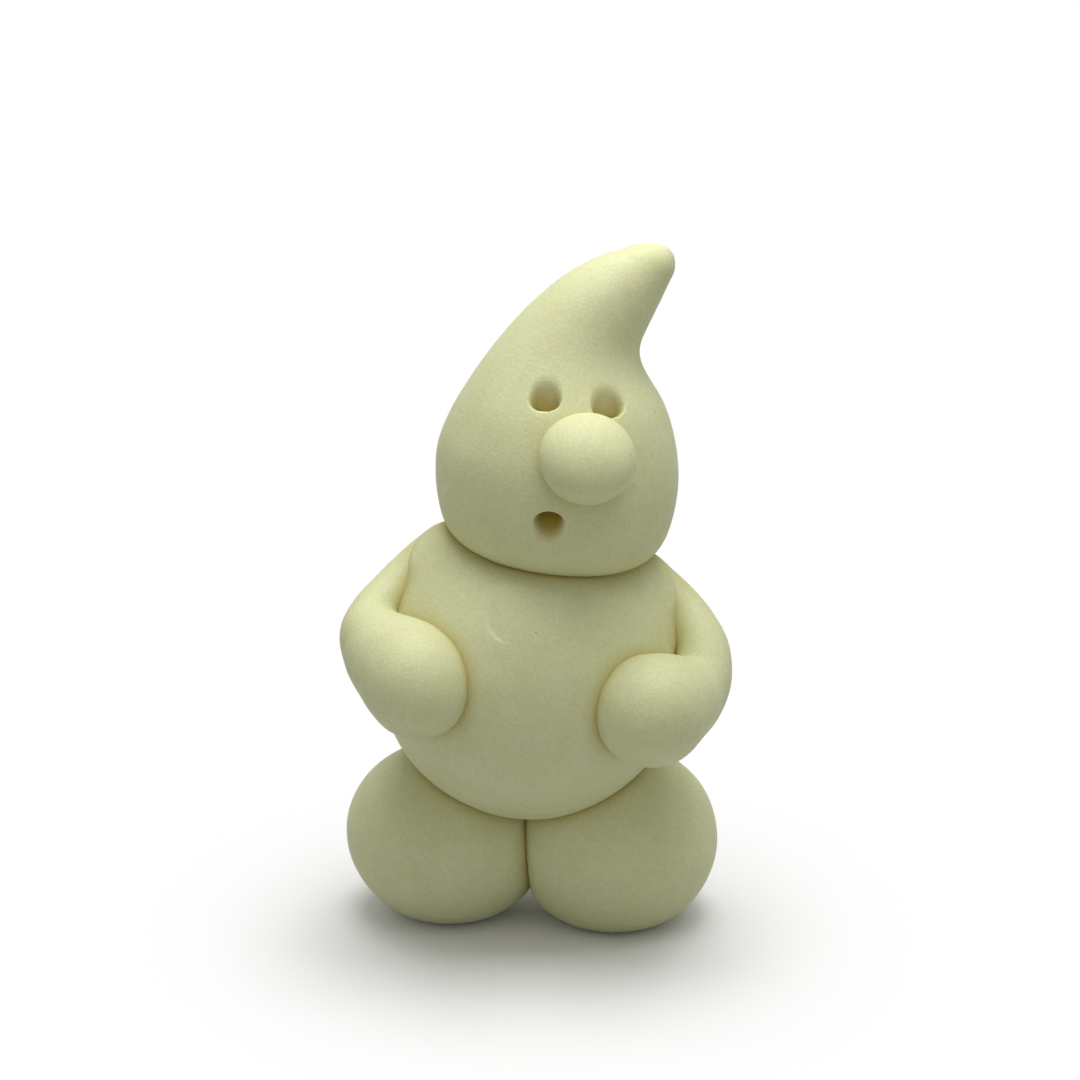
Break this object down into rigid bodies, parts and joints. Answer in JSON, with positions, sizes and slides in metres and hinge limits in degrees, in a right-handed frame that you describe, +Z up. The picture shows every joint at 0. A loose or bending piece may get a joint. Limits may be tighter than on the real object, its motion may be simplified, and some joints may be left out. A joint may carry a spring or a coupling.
{
  "type": "ghost figure",
  "caption": "Hand-modelled ghost ornament: drop-shaped head with a curled tip, ball nose, poked eyes and mouth, arms resting on a round belly, and stubby ball feet with flat soles.",
  "frame": {"origin": "on the ground, under the middle of the figure's bounding box", "axes": "+Z up; the figure faces -Y; +X is the figure's own left, the side its tip curls to"},
  "size_m": [0.0341, 0.0286, 0.0611],
  "materials": {
    "clay": "matte, unglazed, finger-smoothed, pale yellow-green",
    "stick_wood": "bare"
  },
  "bodies": {
    "root": {"torso": "clay", "head": "clay", "nose": "clay", "right_arm": "clay", "left_arm": "clay", "right_foot": "clay", "left_foot": "clay", "neck_stick": "stick_wood"}
  },
  "joints": []
}
